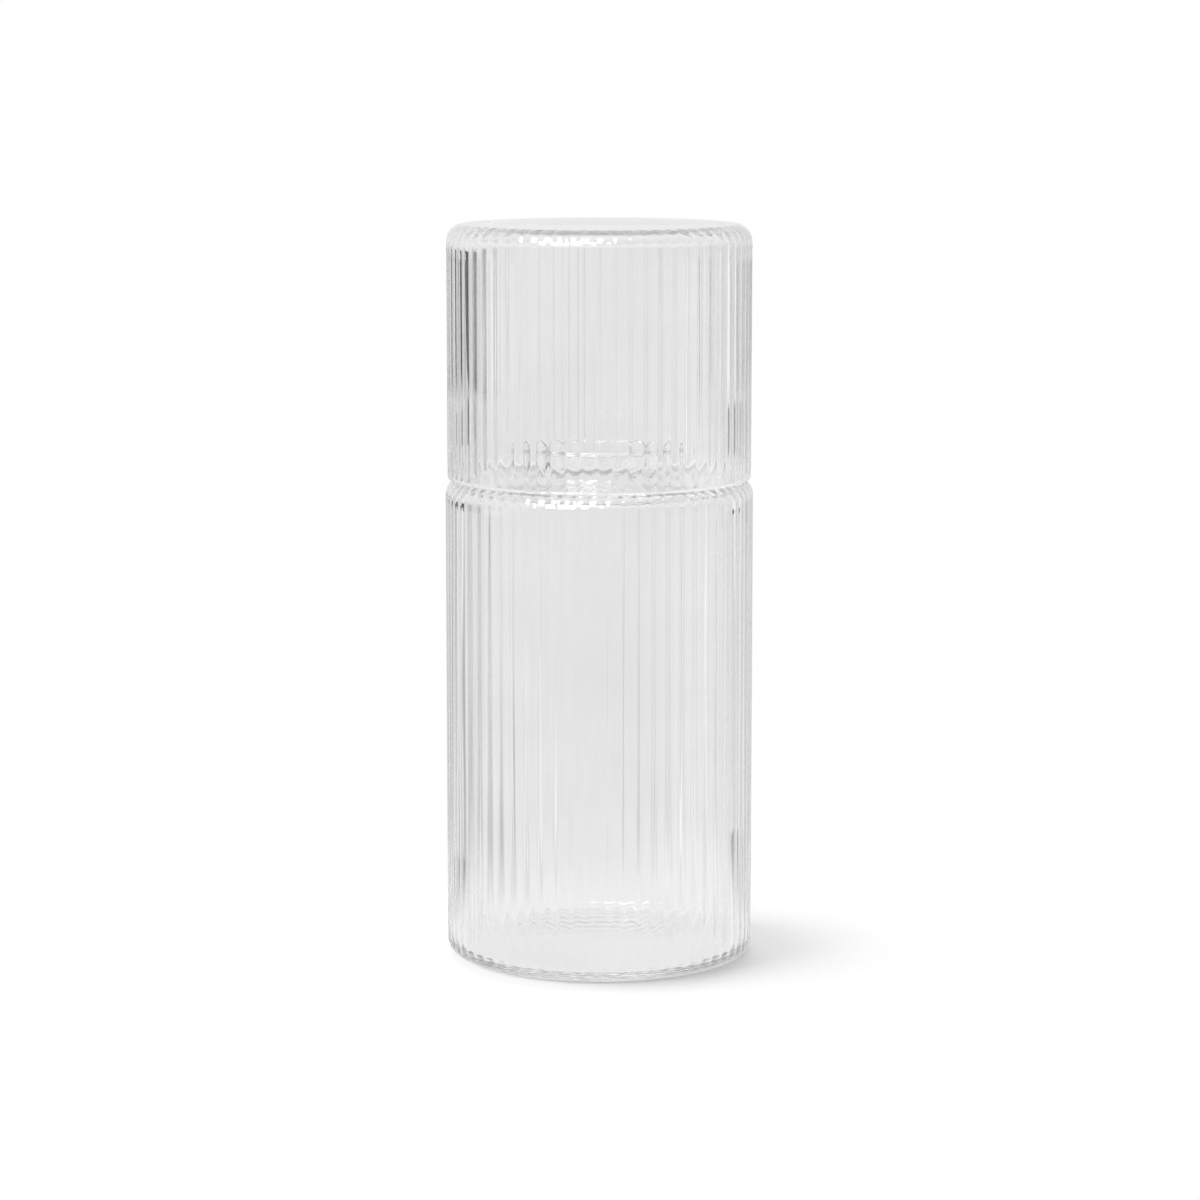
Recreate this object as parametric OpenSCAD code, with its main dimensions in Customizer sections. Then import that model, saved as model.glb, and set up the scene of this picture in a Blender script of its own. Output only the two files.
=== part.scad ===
// Bedside carafe closed by its own tumbler, both of clear ribbed glass.
// The carafe stands on its foot, and the tumbler stands upside down over its
// neck, with its rim on the rounded shoulder. Millimetres, +Z up, and the
// origin lies at the centre of the foot, on the surface that it stands on.

/* [Ribs] */
// Number of ribs round each piece
rib_count = 64; // [40:2:90]
// Depth of the groove between two ribs
rib_depth = 0.3; // [0.15:0.05:0.8]
// Turn of the carafe's ribs about the axis, in degrees
carafe_turn = -0.8; // [-3:0.1:3]
// Turn of the tumbler, as it was set down over the neck, in degrees
tumbler_turn = 1.9; // [-180:0.1:180]

/* [Carafe] */
// Outside diameter over the ribs
carafe_d = 87.2; // [70:0.2:120]
// Height from the surface it stands on to the flat of the shoulder
shoulder_h = 136.8; // [90:0.2:220]
// Wall thickness at a rib
carafe_wall = 1.8; // [1.4:0.1:3.4]
// Thickness of the glass under the inside floor
carafe_base = 3; // [2.6:0.1:8]
// Outside round between the wall and the foot
foot_round = 4; // [2:0.1:6]
// Outside round between the wall and the shoulder
shoulder_round = 5; // [4:0.1:8]
// Inside round between the wall and the floor
carafe_floor_round = 1.8; // [1:0.1:5]
// Width of the flat ring that it stands on
foot_ring_w = 8; // [4:0.5:14]
// Height of the hollow in the underside
foot_hollow = 0.4; // [0.2:0.1:2]

/* [Neck] */
// Outside diameter of the neck
neck_d = 41; // [30:0.5:50]
// Wall thickness of the neck, which its rim rounds off
neck_wall = 2.2; // [1.6:0.1:3]
// Height of the rim over the flat of the shoulder
neck_h = 8.6; // [7:0.1:16]
// Round between the shoulder and the neck
neck_foot_round = 1.5; // [1:0.1:4]

/* [Tumbler] */
// Height from its rim to its base
tumbler_h = 72; // [50:0.5:110]
// How far its side stands back from the carafe's side
tumbler_step = 0.6; // [0.2:0.1:1.2]
// Wall thickness at a rib, which the rim rounds off
tumbler_wall = 2.2; // [1.6:0.1:3]
// Thickness of the glass in its base
tumbler_base = 2.3; // [1.6:0.1:6]
// Outside round between its wall and its base
tumbler_round = 4.8; // [3:0.1:7]
// Inside round between its wall and its base
tumbler_floor_round = 2.6; // [1.5:0.1:5]
// Width of the flat ring that it stands on when it is turned over
tumbler_ring_w = 7; // [4:0.5:12]
// Height of the hollow in its base
tumbler_hollow = 0.4; // [0.3:0.1:1.2]

/* [Fit] */
// Gap between the tumbler's rim and the shoulder that carries it
seat_gap = 0.3; // [0.1:0.05:0.6]

/* [Hidden] */

// How far a cut or a blank runs past the glass
overrun = 2;
// How far the turned outline stands outside the ribs, so that only its rounds cut them
rib_margin = 0.1;
round_fn = 128;
rib_fn = 96;

carafe_r = carafe_d / 2;
tumbler_r = carafe_r - tumbler_step;

neck_r = neck_d / 2;
mouth_r = neck_r - neck_wall;
neck_rim_round = neck_wall / 2;
rim_h = shoulder_h + neck_h;

// The rim is a ring of round section that lies on the round of the shoulder
rim_round = (tumbler_wall + rib_margin) / 2;
shoulder_round_z = shoulder_h - shoulder_round;
seat_reach = shoulder_round + rim_round + seat_gap;
seat_step = (tumbler_r - rim_round) - (carafe_r - shoulder_round);
seat_rise = sqrt(seat_reach * seat_reach - seat_step * seat_step);
tumbler_z = shoulder_round_z + seat_rise - rim_round;

// Radius of the arc that rises by rise over a half width
function arc_r(half_w, rise) = (half_w * half_w + rise * rise) / (2 * rise);

// Ribs as seen from above: rounded ridges that meet in sharp grooves
module rib_outline(crest_r) {
    half_angle = 180 / rib_count;
    groove_r = crest_r - rib_depth;
    half_w = groove_r * sin(half_angle);
    rise = crest_r - groove_r * cos(half_angle);
    rib_r = arc_r(half_w, rise);
    circle(crest_r - rib_r, $fn = round_fn);
    for (i = [0 : rib_count - 1])
        rotate(i * 360 / rib_count)
            translate([crest_r - rib_r, 0])
                circle(rib_r, $fn = rib_fn);
}

// Half section of a solid of one radius, rounded at its lower and upper edges
module rounded_half(r, h, low_round, high_round) {
    mid_h = h / 2;
    square([r - low_round, mid_h]);
    translate([0, low_round])
        square([r, h - low_round - high_round]);
    translate([0, mid_h])
        square([r - high_round, h - mid_h]);
    translate([r - low_round, low_round])
        circle(low_round, $fn = rib_fn);
    translate([r - high_round, h - high_round])
        circle(high_round, $fn = rib_fn);
}

// Shallow hollow in a base, cut upwards from height zero
module base_hollow(half_w, rise) {
    r = arc_r(half_w, rise);
    intersection() {
        translate([0, rise - r])
            circle(r, $fn = 4 * round_fn);
        translate([0, -overrun])
            square([half_w + overrun, rise + 2 * overrun]);
    }
}

// Half section of the carafe's outside, with the neck
module carafe_outside() {
    outer_r = carafe_r + rib_margin;
    difference() {
        rounded_half(outer_r, shoulder_h, foot_round, shoulder_round);
        base_hollow(carafe_r - foot_round - foot_ring_w, foot_hollow);
    }
    // Neck with its round foot
    difference() {
        translate([0, carafe_base])
            square([neck_r + neck_foot_round, shoulder_h + neck_foot_round - carafe_base]);
        translate([neck_r + neck_foot_round, shoulder_h + neck_foot_round])
            circle(neck_foot_round, $fn = rib_fn);
    }
    translate([0, shoulder_h])
        square([neck_r, neck_h - neck_rim_round]);
    translate([neck_r - neck_rim_round, rim_h - neck_rim_round])
        circle(neck_rim_round, $fn = rib_fn);
}

// Half section of the space inside the carafe, open through the neck
module carafe_inside() {
    high_round = max(shoulder_round - carafe_wall, neck_wall / 2);
    fold_r = neck_foot_round + neck_wall;
    translate([0, carafe_base])
        rounded_half(carafe_r - carafe_wall, shoulder_h - neck_wall - carafe_base,
                     carafe_floor_round, high_round);
    // Way through the neck, widening below in the same bend as the outside
    difference() {
        translate([0, shoulder_h - neck_wall - overrun])
            square([neck_r + neck_foot_round, neck_wall + overrun + neck_foot_round]);
        translate([neck_r + neck_foot_round, shoulder_h + neck_foot_round])
            circle(fold_r, $fn = rib_fn);
    }
    translate([0, shoulder_h])
        square([mouth_r, neck_h + overrun]);
}

module carafe() {
    color([0.86, 0.88, 0.88, 0.45])
        difference() {
            intersection() {
                translate([0, 0, -overrun])
                    rotate(carafe_turn)
                        linear_extrude(rim_h + 2 * overrun)
                            rib_outline(carafe_r);
                rotate_extrude($fn = round_fn)
                    carafe_outside();
            }
            rotate_extrude($fn = round_fn)
                carafe_inside();
        }
}

// Half section of the tumbler's outside, rim down, with its rim at height zero
module tumbler_outside() {
    outer_r = tumbler_r + rib_margin;
    difference() {
        union() {
            translate([0, rim_round])
                square([outer_r, tumbler_h - tumbler_round - rim_round]);
            translate([0, rim_round])
                square([outer_r - tumbler_round, tumbler_h - rim_round]);
            translate([outer_r - tumbler_round, tumbler_h - tumbler_round])
                circle(tumbler_round, $fn = rib_fn);
            translate([outer_r - rim_round, rim_round])
                circle(rim_round, $fn = rib_fn);
        }
        translate([0, tumbler_h])
            mirror([0, 1])
                base_hollow(tumbler_r - tumbler_round - tumbler_ring_w, tumbler_hollow);
    }
}

// Half section of the space inside the tumbler, cut from below its rim
module tumbler_inside() {
    inner_r = tumbler_r - tumbler_wall;
    ceiling_h = tumbler_h - tumbler_base;
    translate([0, -overrun])
        square([inner_r, ceiling_h - tumbler_floor_round + overrun]);
    square([inner_r - tumbler_floor_round, ceiling_h]);
    translate([inner_r - tumbler_floor_round, ceiling_h - tumbler_floor_round])
        circle(tumbler_floor_round, $fn = rib_fn);
}

module tumbler() {
    color([0.90, 0.91, 0.92, 0.45])
        translate([0, 0, tumbler_z])
            difference() {
                intersection() {
                    translate([0, 0, -overrun])
                        rotate(tumbler_turn)
                            linear_extrude(tumbler_h + 2 * overrun)
                                rib_outline(tumbler_r);
                    rotate_extrude($fn = round_fn)
                        tumbler_outside();
                }
                rotate_extrude($fn = round_fn)
                    tumbler_inside();
            }
}

carafe();
tumbler();
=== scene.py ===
import bpy
import math
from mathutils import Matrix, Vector


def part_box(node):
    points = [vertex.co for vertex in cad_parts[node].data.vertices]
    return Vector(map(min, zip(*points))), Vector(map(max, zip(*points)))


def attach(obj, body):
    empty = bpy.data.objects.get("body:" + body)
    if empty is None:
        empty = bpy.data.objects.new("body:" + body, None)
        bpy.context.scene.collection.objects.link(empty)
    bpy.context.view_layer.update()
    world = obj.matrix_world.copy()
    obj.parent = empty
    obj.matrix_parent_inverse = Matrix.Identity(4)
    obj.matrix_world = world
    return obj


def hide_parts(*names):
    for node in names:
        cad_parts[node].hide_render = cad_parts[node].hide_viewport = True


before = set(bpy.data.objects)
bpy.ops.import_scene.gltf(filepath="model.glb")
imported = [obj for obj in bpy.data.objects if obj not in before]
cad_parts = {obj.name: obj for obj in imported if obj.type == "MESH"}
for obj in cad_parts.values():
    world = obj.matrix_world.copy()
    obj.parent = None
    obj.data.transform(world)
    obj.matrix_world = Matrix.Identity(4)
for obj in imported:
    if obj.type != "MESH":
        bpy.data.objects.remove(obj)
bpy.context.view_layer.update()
scene = bpy.context.scene
mm = 0.001

# Ribs round each piece. Each is a broad round crest, and a round groove lies between two.
# The shares say how much of the groove is left on the shoulder, and where it starts to run out.
ribs = {"count": 64, "stepsPerRib": 12, "crestShare": 0.7, "shoulderShare": 0.9, "endShare": 0.3}


# Camera of the photograph, level with the upper part and tilted down a little
cameraSetup = {"lens": 111.8, "sensor": 36, "clipFrom": 0.05, "clipTo": 50,
               "back": 1.050, "up": 0.2557, "aside": 0.0002, "tiltDeg": 8.36}


def makeCamera(c):
    data = bpy.data.cameras.new("camera")
    data.lens = c["lens"]
    data.sensor_width = c["sensor"]
    data.clip_start = c["clipFrom"]
    data.clip_end = c["clipTo"]
    camera = bpy.data.objects.new("camera", data)
    camera.location = (c["aside"], -c["back"], c["up"])
    camera.rotation_euler = (math.radians(90 - c["tiltDeg"]), 0, 0)
    scene.collection.objects.link(camera)
    scene.camera = camera
    print("camera placed")


# Outlines run from the axis under the base, up the outside, over the rim and down the inside.
# Each point is radius, height, share of the groove depth and share of the wall's unevenness.
def arc(points, centreR, centreZ, radius, startDeg, endDeg, steps, rib=0.0, wave=0.0, ribEnd=None):
    ribEnd = rib if ribEnd is None else ribEnd
    for i in range(1, steps + 1):
        t = i / steps
        a = math.radians(startDeg + (endDeg - startDeg) * t)
        points.append((centreR + radius * math.cos(a), centreZ + radius * math.sin(a),
                       rib + (ribEnd - rib) * t, wave))


def line(points, endR, endZ, steps, rib=0.0, wave=0.0, ribEnd=None):
    startR, startZ = points[-1][0], points[-1][1]
    ribEnd = rib if ribEnd is None else ribEnd
    for i in range(1, steps + 1):
        t = i / steps
        points.append((startR + (endR - startR) * t, startZ + (endZ - startZ) * t,
                       rib + (ribEnd - rib) * t, wave))


# Shallow bowl in a base, from the axis out to the flat ring that the piece stands on
def hollow(points, reach, flatZ, rise, steps=5):
    for i in range(steps + 1):
        points.append((reach * i / steps, flatZ + rise * (1 - (i / steps) ** 2), 0, 0))


def drawOutline(name, points):
    bpy.ops.object.select_all(action="DESELECT")
    bpy.ops.mesh.primitive_plane_add(size=mm, location=(0, 0, 0))
    piece = bpy.context.object
    piece.name = piece.data.name = name
    bpy.ops.object.mode_set(mode="EDIT")
    bpy.ops.mesh.merge(type="CENTER")
    bpy.ops.transform.translate(value=(points[0][0], 0, points[0][1]))
    for a, b in zip(points, points[1:]):
        bpy.ops.mesh.extrude_vertices_move(
            TRANSFORM_OT_translate={"value": (b[0] - a[0], 0, b[1] - a[1])})
    bpy.ops.object.mode_set(mode="OBJECT")
    return piece


# Share of the groove's depth at a place across the rib, -1 and 1 in the grooves and 0 on the crest
def grooveShare(across):
    side, crest = abs(across), ribs["crestShare"]
    if side < crest:
        return side ** 2
    return crest - (1 - side) ** 2 * crest / (1 - crest)


# Weights for the grooves and for the uneven inside, found by each vertex's place on the outline
def weighRib(piece, points):
    grooves = piece.vertex_groups.new(name="grooves")
    inside = piece.vertex_groups.new(name="inside")
    byPlace = {(round(p[0] / mm, 2), round(p[1] / mm, 2)): p for p in points}
    nudges = (0, 0.01, -0.01)  # a last digit that was rounded the other way
    for v in piece.data.vertices:
        r = round(math.hypot(v.co.x, v.co.y) / mm, 2)
        near = [byPlace.get((round(r + dr, 2), round(v.co.z / mm + dz, 2)))
                for dr in nudges for dz in nudges]
        near = [p for p in near if p]
        if not near:
            raise RuntimeError("a vertex lies off its outline")
        rib, wave = near[0][2:]
        across = 2 * math.atan2(v.co.y, v.co.x) * ribs["count"] / (2 * math.pi) - 1
        if rib > 0:
            grooves.add([v.index], rib * grooveShare(across), "REPLACE")
        if wave > 0:
            inside.add([v.index], wave, "REPLACE")


def pushIn(piece, groupName, depth, texture=None, guide=None):
    push = piece.modifiers.new(groupName, "DISPLACE")
    push.vertex_group = groupName
    push.direction = "NORMAL"
    push.strength = -depth
    push.mid_level = 0
    if texture:
        push.texture = texture
        push.texture_coords = "OBJECT"
        push.texture_coords_object = guide
    bpy.ops.object.modifier_apply(modifier=push.name)


# Soft clouds push the inner wall in and out. An empty sets their place and stretch
def unevenInside(piece, u):
    guide = bpy.data.objects.new("unevenGuide", None)
    guide.location = (0, 0, u["from"])
    guide.scale = (u["across"], u["across"], u["along"])
    scene.collection.objects.link(guide)
    bpy.context.view_layer.update()
    cloud = bpy.data.textures.new("unevenWall", "CLOUDS")
    cloud.noise_scale = 1.0
    cloud.noise_depth = 1
    pushIn(piece, "inside", u["depth"], cloud, guide)
    bpy.data.objects.remove(guide)


# One rib is spun, weighed and copied round, and then the grooves and the uneven wall are pushed in
def ribGlass(name, points, setup):
    piece = drawOutline(name, points)
    step = 2 * math.pi / ribs["count"]
    bpy.ops.object.mode_set(mode="EDIT")
    bpy.ops.mesh.select_all(action="SELECT")
    bpy.ops.mesh.spin(steps=ribs["stepsPerRib"], angle=-step, center=(0, 0, 0), axis=(0, 0, 1))
    bpy.ops.mesh.select_all(action="SELECT")
    bpy.ops.mesh.remove_doubles(threshold=0.001 * mm)
    bpy.ops.object.mode_set(mode="OBJECT")
    weighRib(piece, points)
    bpy.ops.object.mode_set(mode="EDIT")
    bpy.ops.mesh.select_all(action="SELECT")
    bpy.ops.mesh.spin(steps=ribs["count"] - 1, angle=-(2 * math.pi - step), dupli=True,
                      center=(0, 0, 0), axis=(0, 0, 1))
    bpy.ops.mesh.select_all(action="SELECT")
    bpy.ops.mesh.remove_doubles(threshold=0.003 * mm)
    bpy.ops.mesh.normals_make_consistent(inside=False)
    bpy.ops.object.mode_set(mode="OBJECT")
    halfRibDeg = 360 * 0.5 / ribs["count"]  # a crest then faces along +X at no turn
    piece.rotation_euler.z = math.radians(setup["turnDeg"] + halfRibDeg)
    bpy.ops.object.transform_apply(location=False, rotation=True, scale=False)
    pushIn(piece, "grooves", setup["groove"] * mm)
    unevenInside(piece, setup["uneven"])
    piece.vertex_groups.clear()
    bpy.ops.object.shade_smooth()
    print(name, "has", len(piece.data.vertices), "vertices")
    return piece


# Sizes and groove in millimetres, the unevenness in metres, and the shade's heights in metres
carafeSetup = {
    "sizes": {"radius": 43.6, "wall": 1.8, "base": 3.0, "footRound": 4.0, "shoulderRound": 5.0,
              "floorRound": 1.8, "ring": 8.0, "hollow": 0.4,
              "neckR": 20.5, "neckWall": 2.2, "neckH": 8.6, "neckFoot": 1.5},
    "groove": 0.38, "turnDeg": -0.8,
    "uneven": {"from": 0.031, "across": 0.012, "along": 0.070, "depth": 0.00020},
    "shadeFrom": 0.002, "shadeTo": 0.035,
}


def carafeOutline(sizes):
    low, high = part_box("carafe")
    k = {name: value * mm for name, value in sizes.items()}
    r, rim = k["radius"], high.z
    foot, bend, neckR = k["footRound"], k["shoulderRound"], k["neckR"]
    shoulder = rim - k["neckH"]
    mouth = neckR - k["neckWall"]
    tip = k["neckWall"] / 2
    fold = neckR + k["neckFoot"]
    foldZ = shoulder + k["neckFoot"]
    p = []
    hollow(p, r - foot - k["ring"], 0.0, k["hollow"])
    line(p, r - foot, 0.0, 2)  # ring that it stands on
    arc(p, r - foot, foot, foot, -90, -45, 5)
    arc(p, r - foot, foot, foot, -45, 0, 5, rib=0.0, ribEnd=1.0)
    line(p, r, shoulder - bend, 10, rib=1.0)  # outer wall
    arc(p, r - bend, shoulder - bend, bend, 0, 90, 9, rib=1.0, ribEnd=ribs["shoulderShare"])
    line(p, fold, shoulder, 8, rib=ribs["shoulderShare"], ribEnd=ribs["endShare"])
    arc(p, fold, foldZ, k["neckFoot"], 270, 180, 6, rib=ribs["endShare"], ribEnd=0.0)
    line(p, neckR, rim - tip, 2)
    arc(p, neckR - tip, rim - tip, tip, 0, 180, 12)  # rounded rim
    line(p, mouth, foldZ, 2)
    arc(p, fold, foldZ, k["neckFoot"] + k["neckWall"], 180, 270, 6)
    inner = r - k["wall"]
    under = shoulder - k["neckWall"]
    inRound = bend - k["wall"]
    line(p, inner - inRound, under, 6, wave=0.5)  # under the shoulder
    arc(p, inner - inRound, under - inRound, inRound, 90, 0, 6, wave=1.0)
    line(p, inner, k["base"] + k["floorRound"], 28, wave=1.0)  # inner wall
    arc(p, inner - k["floorRound"], k["base"] + k["floorRound"], k["floorRound"], 0, -90, 6, wave=1.0)
    line(p, 0.0, k["base"], 5, wave=0.5)  # floor
    return p


# As for the carafe. The grooves start to run out at rimFade above the rim
tumblerSetup = {
    "sizes": {"radius": 43.0, "wall": 2.0, "base": 2.3, "round": 4.8, "floorRound": 2.6,
              "ring": 7.0, "hollow": 0.4, "rimFade": 4.0},
    "groove": 0.45, "turnDeg": 1.9,
    "uneven": {"from": 0.073, "across": 0.014, "along": 0.060, "depth": 0.00016},
    "shadeFrom": -0.1, "shadeTo": 0.0,
}


def tumblerOutline(sizes):
    low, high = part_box("tumbler")
    rim, top = low.z, high.z
    k = {name: value * mm for name, value in sizes.items()}
    r, bend = k["radius"], k["round"]
    tip = k["wall"] / 2
    inner = r - k["wall"]
    ceiling = top - k["base"]
    p = []
    hollow(p, r - bend - k["ring"], top, -k["hollow"])
    line(p, r - bend, top, 2)  # ring that it stands on when it is turned over
    arc(p, r - bend, top - bend, bend, 90, 65, 4, rib=0.0, ribEnd=1.0)
    arc(p, r - bend, top - bend, bend, 65, 0, 7, rib=1.0)
    line(p, r, rim + k["rimFade"], 8, rib=1.0)  # outer wall
    line(p, r, rim + tip, 4, rib=1.0, ribEnd=ribs["endShare"])
    arc(p, r - tip, rim + tip, tip, 0, -180, 12, rib=ribs["endShare"], ribEnd=0.0)  # rounded rim
    line(p, inner, ceiling - k["floorRound"], 22, wave=1.0)  # inner wall
    arc(p, inner - k["floorRound"], ceiling - k["floorRound"], k["floorRound"], 0, 90, 6, wave=1.0)
    line(p, 0.0, ceiling, 5, wave=0.5)  # inside of the base
    return p


# Clear glass. Lamps and the floor's own light pass it as through a tinted film, darker low down
glassLook = {"dims": 2.6, "ior": 1.52, "rough": 0.0, "shadeLow": 0.66, "shadeHigh": 0.992,
             "cloudScale": 60, "cloudFrom": 0.3, "cloudTo": 0.7, "cloudTint": (0.975, 1.0),
             "lines": (420, 420, 10), "lineDepth": 0.000004}


def link(tree, fromNode, fromSocket, toNode, toSocket):
    tree.links.new(fromNode.outputs[fromSocket], toNode.inputs[toSocket])


def mathNode(tree, operation, first, second=None, clamp=False):
    node = tree.nodes.new("ShaderNodeMath")
    node.operation = operation
    node.use_clamp = clamp
    for i, value in enumerate((first, second)):
        if hasattr(value, "is_output"):
            tree.links.new(value, node.inputs[i])
        elif value is not None:
            node.inputs[i].default_value = value
    return node.outputs[0]


# A smooth step from one value to another while the input runs from low to high
def fade(tree, value, low, high, start, end):
    node = tree.nodes.new("ShaderNodeMapRange")
    node.interpolation_type = "SMOOTHSTEP"
    for socket, number in (("From Min", low), ("From Max", high), ("To Min", start), ("To Max", end)):
        node.inputs[socket].default_value = number
    tree.links.new(value, node.inputs["Value"])
    return node.outputs["Result"]


def glassMaterial(name, look, shadeFrom, shadeTo):
    mat = bpy.data.materials.new(name)
    mat.use_nodes = True
    tree = mat.node_tree
    tree.nodes.clear()
    out = tree.nodes.new("ShaderNodeOutputMaterial")
    glass = tree.nodes.new("ShaderNodeBsdfPrincipled")
    glass.inputs["Roughness"].default_value = look["rough"]
    glass.inputs["IOR"].default_value = look["ior"]
    glass.inputs["Transmission Weight"].default_value = 1.0
    through = tree.nodes.new("ShaderNodeBsdfTransparent")
    path = tree.nodes.new("ShaderNodeLightPath")
    mix = tree.nodes.new("ShaderNodeMixShader")
    byLamp = mathNode(tree, "MAXIMUM", path.outputs["Is Shadow Ray"], path.outputs["Is Diffuse Ray"])
    tree.links.new(byLamp, mix.inputs[0])
    link(tree, glass, 0, mix, 1)
    link(tree, through, 0, mix, 2)
    link(tree, mix, 0, out, "Surface")
    body = tree.nodes.new("ShaderNodeVolumeAbsorption")
    body.inputs["Color"].default_value = (0, 0, 0, 1)
    body.inputs["Density"].default_value = look["dims"]
    link(tree, body, 0, out, "Volume")
    coords = tree.nodes.new("ShaderNodeTexCoord")
    # Faint clouds in the glass, and the fine upright lines that blowing leaves in it
    clouds = tree.nodes.new("ShaderNodeTexNoise")
    clouds.inputs["Scale"].default_value = look["cloudScale"]
    link(tree, coords, "Object", clouds, "Vector")
    tint = fade(tree, clouds.outputs["Fac"], look["cloudFrom"], look["cloudTo"], *look["cloudTint"])
    tree.links.new(tint, glass.inputs["Base Color"])
    stretch = tree.nodes.new("ShaderNodeMapping")
    stretch.inputs["Scale"].default_value = look["lines"]
    link(tree, coords, "Object", stretch, "Vector")
    lines = tree.nodes.new("ShaderNodeTexNoise")
    lines.inputs["Scale"].default_value = 1
    lines.inputs["Detail"].default_value = 1
    link(tree, stretch, "Vector", lines, "Vector")
    bump = tree.nodes.new("ShaderNodeBump")
    bump.inputs["Strength"].default_value = 1.0
    bump.inputs["Distance"].default_value = look["lineDepth"]
    link(tree, lines, "Fac", bump, "Height")
    link(tree, bump, "Normal", glass, "Normal")
    # The film that the lamps' light passes
    split = tree.nodes.new("ShaderNodeSeparateXYZ")
    link(tree, coords, "Object", split, 0)
    shade = fade(tree, split.outputs["Z"], shadeFrom, shadeTo, look["shadeLow"], look["shadeHigh"])
    tree.links.new(shade, through.inputs["Color"])
    return mat


# What the glass sees of the studio, painted into the floor's glow as light and shade. Tones stand at
# their azimuth from straight behind, in degrees, with the left below zero: a pale sweep behind, painted
# dark flags beside it and painted bright walls at the sides. A patch adds to the tone over a stretch of
# floor, from and to in metres outwards. The first four are the far floor, seen through the tumbler, with
# a painted black flag at the left. The next two are short painted flags seen low in the tumbler, and the
# last two are painted shade beside the foot.
studio = {
    "tones": [(-180, 0.86), (-150, 0.94), (-122, 0.75), (-100, 0.80), (-87, 1.05), (-74, 0.70),
              (-65, 0.42), (-58, 0.42), (-50, 0.95), (-44, 0.90), (-38, 0.50), (-30, 0.28),
              (-22, 0.40), (-18, 0.98), (-16, 0.90), (-14, 0.62), (-11, 0.79), (11, 0.79),
              (14, 0.60), (17, 0.60), (20, 1.00), (25, 1.00), (29, 0.50), (37, 0.50),
              (41, 0.95), (49, 0.95), (53, 0.60), (62, 0.72), (72, 0.95), (84, 1.15),
              (108, 1.35), (145, 0.84)],
    "worldTone": 0.86, "brightest": 2.0, "edgeShare": 0.06,
    "near": {"tone": 0.87, "from": 0.04, "to": 0.19},
    "patches": [
        # Painted light and a painted black flag on the far floor
        {"at": -50, "half": 31, "soft": 3, "from": 1.85, "to": 6.0, "adds": -1.40},
        {"at": -30, "half": 5, "soft": 3, "from": 1.85, "to": 6.0, "adds": 0.65},
        {"at": -91, "half": 13, "soft": 4, "from": 1.85, "to": 6.0, "adds": 0.50},
        {"at": 64, "half": 20, "soft": 8, "from": 1.85, "to": 6.0, "adds": 0.25},
        # Painted short dark flags
        {"at": -55, "half": 9, "soft": 4, "from": 1.42, "to": 1.66, "adds": -1.00},
        {"at": 55, "half": 7, "soft": 4, "from": 1.20, "to": 1.75, "adds": -0.80},
        # Painted shade on the floor beside the foot
        {"at": 62, "half": 12, "soft": 6, "from": 0.08, "to": 0.20, "adds": -0.40},
        {"at": -60, "half": 12, "soft": 8, "from": 0.07, "to": 0.16, "adds": -0.35},
    ],
}


# Paints the studio's light and shade as a tone by azimuth and distance on the floor
def paintedStudioTone(tree, flatVector, s):
    split = tree.nodes.new("ShaderNodeSeparateXYZ")
    tree.links.new(flatVector, split.inputs[0])
    azimuth = mathNode(tree, "ARCTAN2", split.outputs["X"], split.outputs["Y"])
    ramp = tree.nodes.new("ShaderNodeValToRGB")
    ramp.color_ramp.interpolation = "LINEAR"
    stops = ramp.color_ramp.elements
    while len(stops) < len(s["tones"]):
        stops.new(1.0)
    for stop, (at, tone) in zip(stops, s["tones"]):
        stop.position = 0.5 + at / 360
        stop.color = [tone / s["brightest"]] * 3 + [1]
    turns = mathNode(tree, "DIVIDE", azimuth, 2 * math.pi)
    tree.links.new(mathNode(tree, "ADD", turns, 0.5), ramp.inputs["Fac"])
    squares = [mathNode(tree, "MULTIPLY", split.outputs[k], split.outputs[k]) for k in "XY"]
    away = mathNode(tree, "SQRT", mathNode(tree, "ADD", *squares))
    total = mathNode(tree, "MULTIPLY", ramp.outputs["Color"], s["brightest"])
    for p in s["patches"]:
        off = mathNode(tree, "ABSOLUTE", mathNode(tree, "SUBTRACT", azimuth, math.radians(p["at"])))
        aside = fade(tree, off, math.radians(p["half"] - p["soft"]), math.radians(p["half"]), 1.0, 0.0)
        halfEdge = s["edgeShare"] * p["to"] / 2
        near = fade(tree, away, p["from"] - halfEdge, p["from"] + halfEdge, 0.0, 1.0)
        far = fade(tree, away, p["to"] - halfEdge, p["to"] + halfEdge, 1.0, 0.0)
        amount = mathNode(tree, "MULTIPLY", mathNode(tree, "MULTIPLY", aside, near), far)
        total = mathNode(tree, "ADD", mathNode(tree, "MULTIPLY", amount, p["adds"]), total)
    out = fade(tree, away, s["near"]["from"], s["near"]["to"], 0.0, 1.0)
    beyond = mathNode(tree, "MULTIPLY", mathNode(tree, "SUBTRACT", total, s["near"]["tone"]), out)
    return mathNode(tree, "MAXIMUM", mathNode(tree, "ADD", beyond, s["near"]["tone"]), 0.0)


# Rays that left the glass by reflection or refraction
def byGlass(tree, path):
    return mathNode(tree, "ADD", path.outputs["Is Glossy Ray"], path.outputs["Is Transmission Ray"],
                    clamp=True)


# White to the camera, the painted studio light and shade to the glass, and matt to the lamps
floorLook = {"radius": 6, "drop": 0.0002, "colour": (0.97, 0.97, 0.97, 1),
             "cameraGlow": 0.15, "whiteFrom": 0.045, "whiteTo": 0.105,
             "glassGlow": 0.92, "nearFrom": 0.06, "nearTo": 0.30}


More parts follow.
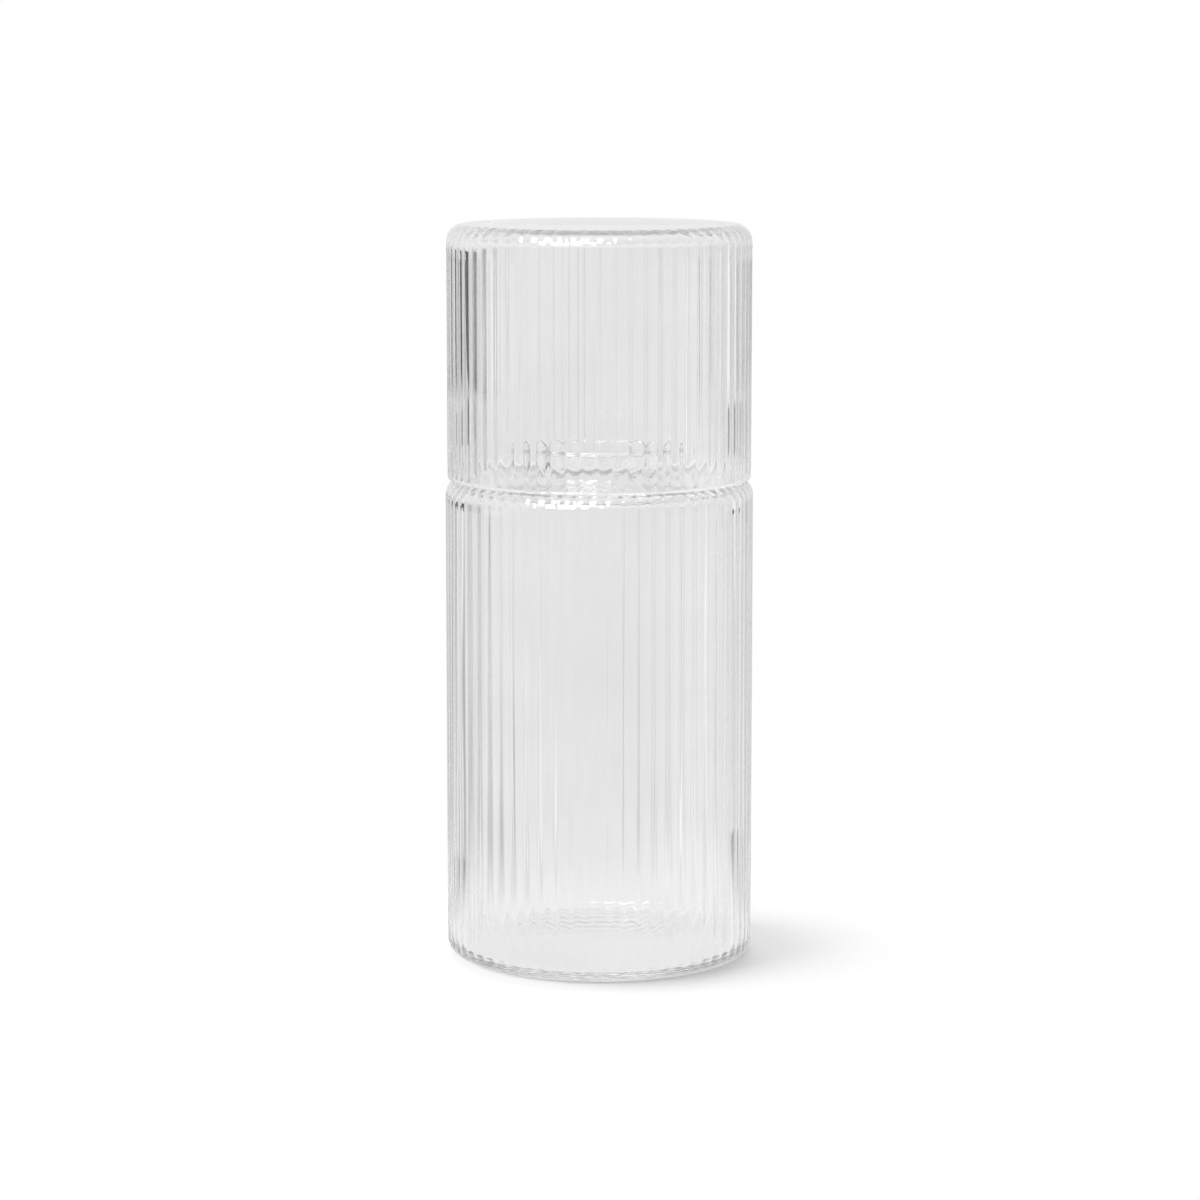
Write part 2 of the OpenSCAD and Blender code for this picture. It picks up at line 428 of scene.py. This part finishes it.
def makeFloor(look):
    bpy.ops.object.select_all(action="DESELECT")
    bpy.ops.mesh.primitive_circle_add(vertices=64, radius=look["radius"], fill_type="NGON",
                                      location=(0, 0, -look["drop"]))
    floor = bpy.context.object
    floor.name = floor.data.name = "floor"
    mat = bpy.data.materials.new("floorWhite")
    mat.use_nodes = True
    tree = mat.node_tree
    tree.nodes.clear()
    out = tree.nodes.new("ShaderNodeOutputMaterial")
    matt = tree.nodes.new("ShaderNodeBsdfDiffuse")
    matt.inputs["Color"].default_value = look["colour"]
    white = tree.nodes.new("ShaderNodeEmission")
    white.inputs["Strength"].default_value = 1.0
    # The floor glows with the painted studio light and shade, for rays that left the glass
    paintedStudioGlow = tree.nodes.new("ShaderNodeEmission")
    coords = tree.nodes.new("ShaderNodeTexCoord")
    away = tree.nodes.new("ShaderNodeVectorMath")
    away.operation = "LENGTH"
    link(tree, coords, "Object", away, 0)
    tone = paintedStudioTone(tree, coords.outputs["Object"], studio)
    tree.links.new(tone, paintedStudioGlow.inputs["Strength"])
    path = tree.nodes.new("ShaderNodeLightPath")
    plain = fade(tree, away.outputs["Value"], look["whiteFrom"], look["whiteTo"], look["cameraGlow"], 1.0)
    forCamera = tree.nodes.new("ShaderNodeMixShader")
    tree.links.new(mathNode(tree, "MULTIPLY", path.outputs["Is Camera Ray"], plain), forCamera.inputs[0])
    link(tree, matt, 0, forCamera, 1)
    link(tree, white, 0, forCamera, 2)
    share = fade(tree, away.outputs["Value"], look["nearFrom"], look["nearTo"], look["glassGlow"], 1.0)
    forGlass = tree.nodes.new("ShaderNodeMixShader")
    tree.links.new(mathNode(tree, "MULTIPLY", byGlass(tree, path), share), forGlass.inputs[0])
    link(tree, forCamera, 0, forGlass, 1)
    link(tree, paintedStudioGlow, 0, forGlass, 2)
    link(tree, forGlass, 0, out, "Surface")
    floor.data.materials.append(mat)
    print("floor laid")


worldLook = {"fill": 0.16, "seen": 1.0}


def makeWorld(look):
    world = bpy.data.worlds.new("studio")
    scene.world = world
    world.use_nodes = True
    tree = world.node_tree
    tree.nodes.clear()
    out = tree.nodes.new("ShaderNodeOutputWorld")
    path = tree.nodes.new("ShaderNodeLightPath")
    levels = {"fill": look["fill"], "toGlass": studio["worldTone"], "toCamera": look["seen"]}
    backs = {}
    for name, level in levels.items():
        backs[name] = tree.nodes.new("ShaderNodeBackground")
        backs[name].inputs["Color"].default_value = (1, 1, 1, 1)
        backs[name].inputs["Strength"].default_value = level
    inner = tree.nodes.new("ShaderNodeMixShader")
    tree.links.new(byGlass(tree, path), inner.inputs[0])
    link(tree, backs["fill"], 0, inner, 1)
    link(tree, backs["toGlass"], 0, inner, 2)
    outer = tree.nodes.new("ShaderNodeMixShader")
    link(tree, path, "Is Camera Ray", outer, 0)
    link(tree, inner, 0, outer, 1)
    link(tree, backs["toCamera"], 0, outer, 2)
    link(tree, outer, 0, out, "Surface")
    print("studio lit")


# A wide window, up and to the left in front, is the only lamp that shows in the glass. The side lamp
# lays the shadow to the right, and the back lamp keeps the floor in front of the foot even
lamps = {
    "window": {"azimuthDeg": -30, "elevationDeg": 50, "away": 1.6, "wide": 0.75, "tall": 1.0,
               "radiance": 9.0, "inGlass": True},
    "sideLamp": {"azimuthDeg": -80, "elevationDeg": 28, "away": 1.5, "wide": 2.0, "tall": 0.6,
                 "radiance": 11.0, "inGlass": False},
    "backLamp": {"azimuthDeg": 176, "elevationDeg": 58, "away": 1.5, "wide": 0.8, "tall": 0.8,
                 "radiance": 5.0, "inGlass": False},
}


def makeLamp(name, w):
    a, e = math.radians(w["azimuthDeg"]), math.radians(w["elevationDeg"])
    where = Vector((math.sin(a) * math.cos(e), -math.cos(a) * math.cos(e), math.sin(e))) * w["away"]
    data = bpy.data.lights.new(name, "AREA")
    data.shape = "RECTANGLE"
    data.size = w["wide"]
    data.size_y = w["tall"]
    data.energy = w["radiance"] * math.pi * w["wide"] * w["tall"]
    lamp = bpy.data.objects.new(name, data)
    lamp.location = where
    lamp.rotation_euler = (-where).to_track_quat("-Z", "Y").to_euler()
    lamp.visible_diffuse = not w["inGlass"]
    lamp.visible_glossy = w["inGlass"]
    lamp.visible_transmission = w["inGlass"]
    scene.collection.objects.link(lamp)


scene.view_settings.view_transform = "Standard"
makeCamera(cameraSetup)
makeWorld(worldLook)
makeFloor(floorLook)
for lampName, lampSetup in lamps.items():
    makeLamp(lampName, lampSetup)
print("lamps hung")

# Light that runs along inside the ribs turns back many times before it leaves
mostBounces = 96
scene.cycles.max_bounces = mostBounces
scene.cycles.glossy_bounces = mostBounces
scene.cycles.transmission_bounces = mostBounces

carafe = ribGlass("carafe_ribbed", carafeOutline(carafeSetup["sizes"]), carafeSetup)
carafe.data.materials.append(
    glassMaterial("carafeGlass", glassLook, carafeSetup["shadeFrom"], carafeSetup["shadeTo"]))
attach(carafe, "carafe")
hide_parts("carafe")

tumbler = ribGlass("tumbler_ribbed", tumblerOutline(tumblerSetup["sizes"]), tumblerSetup)
tumbler.data.materials.append(
    glassMaterial("tumblerGlass", glassLook, tumblerSetup["shadeFrom"], tumblerSetup["shadeTo"]))
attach(tumbler, "tumbler")
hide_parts("tumbler")
